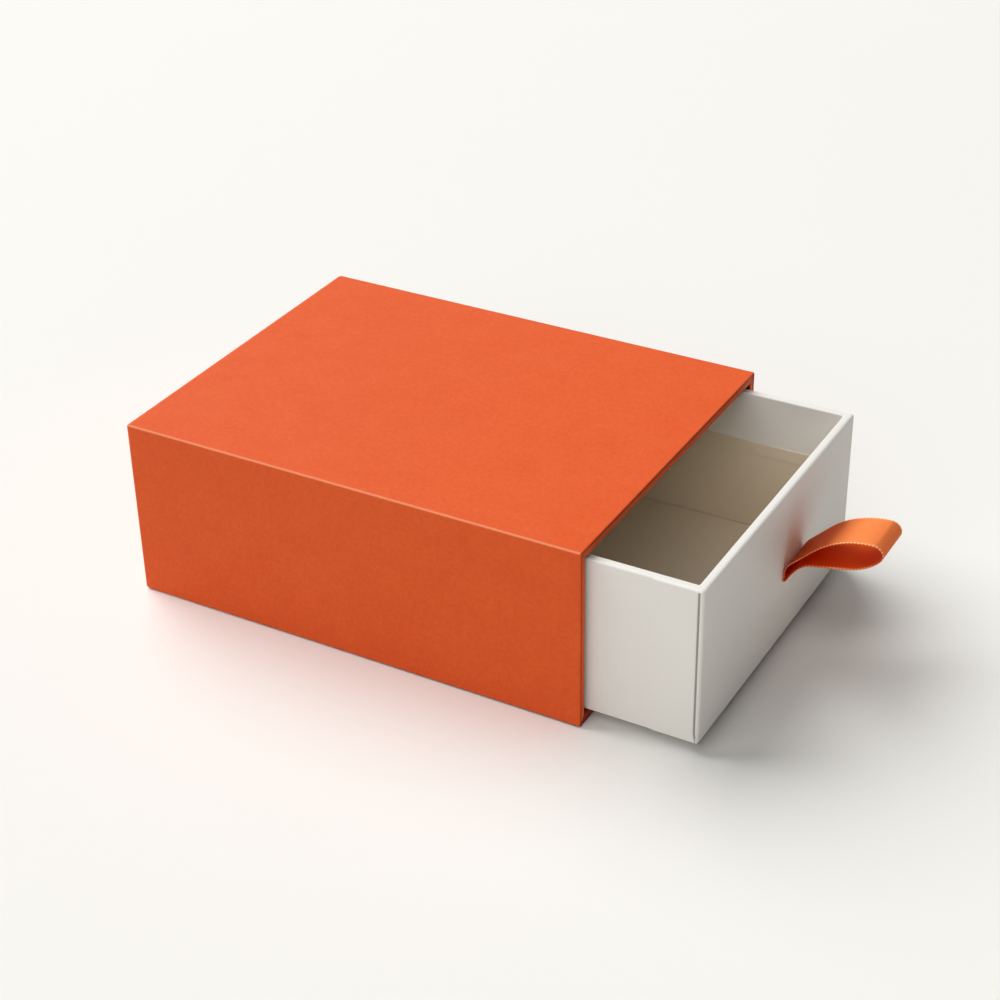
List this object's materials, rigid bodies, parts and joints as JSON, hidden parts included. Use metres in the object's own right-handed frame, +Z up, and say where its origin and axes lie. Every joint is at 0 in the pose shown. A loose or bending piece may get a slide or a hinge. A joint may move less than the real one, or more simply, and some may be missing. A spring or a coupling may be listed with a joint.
{
  "type": "drawer gift box",
  "caption": "Rigid board gift box: a paper-covered sleeve, closed at the back, with a sliding tray that pulls out by a folded satin ribbon.",
  "frame": {"origin": "middle of the sleeve's underside, on the surface that the box stands on", "axes": "+X the way the drawer pulls out, +Y towards the side that the ribbon is nearer to, +Z up"},
  "size_m": [0.1702, 0.092, 0.046],
  "materials": {
    "orange_paper": "matte textured",
    "greyboard": "matte",
    "stay_tape": "matte",
    "sleeve_lining": "matte",
    "white_paper": "matte",
    "white_lining": "matte",
    "satin_ribbon": "satin"
  },
  "bodies": {
    "sleeve": {"sleeve_wrap": "orange_paper", "sleeve_base_sheet": "orange_paper", "sleeve_back_sheet": "orange_paper", "sleeve_top_board": "greyboard", "sleeve_bottom_board": "greyboard", "sleeve_left_board": "greyboard", "sleeve_right_board": "greyboard", "sleeve_back_board": "greyboard", "sleeve_stay_tapes": "stay_tape", "sleeve_liner": "sleeve_lining"},
    "drawer": {"tray_floor_board": "greyboard", "tray_front_board": "greyboard", "tray_back_board": "greyboard", "tray_left_board": "greyboard", "tray_right_board": "greyboard", "tray_stay_tapes": "stay_tape", "ribbon_patch": "stay_tape", "tray_wrap": "white_paper", "tray_wall_liner": "white_lining", "tray_floor_card": "white_lining", "ribbon_tails": "satin_ribbon"},
    "pull": {"ribbon_loop": "satin_ribbon"}
  },
  "joints": [
    {"name": "drawer_slide", "type": "slide", "parent": "sleeve", "child": "drawer", "axis": [1, 0, 0], "range_m": [-0.027, 0.0905]},
    {"name": "ribbon_swing", "type": "hinge", "parent": "drawer", "child": "pull", "pos_m": [0.08775, 0.0078, 0.02022], "axis": [0, 1, 0], "range_deg": [-20, 60], "stiffness_Nm_per_rad": 0.002}
  ]
}
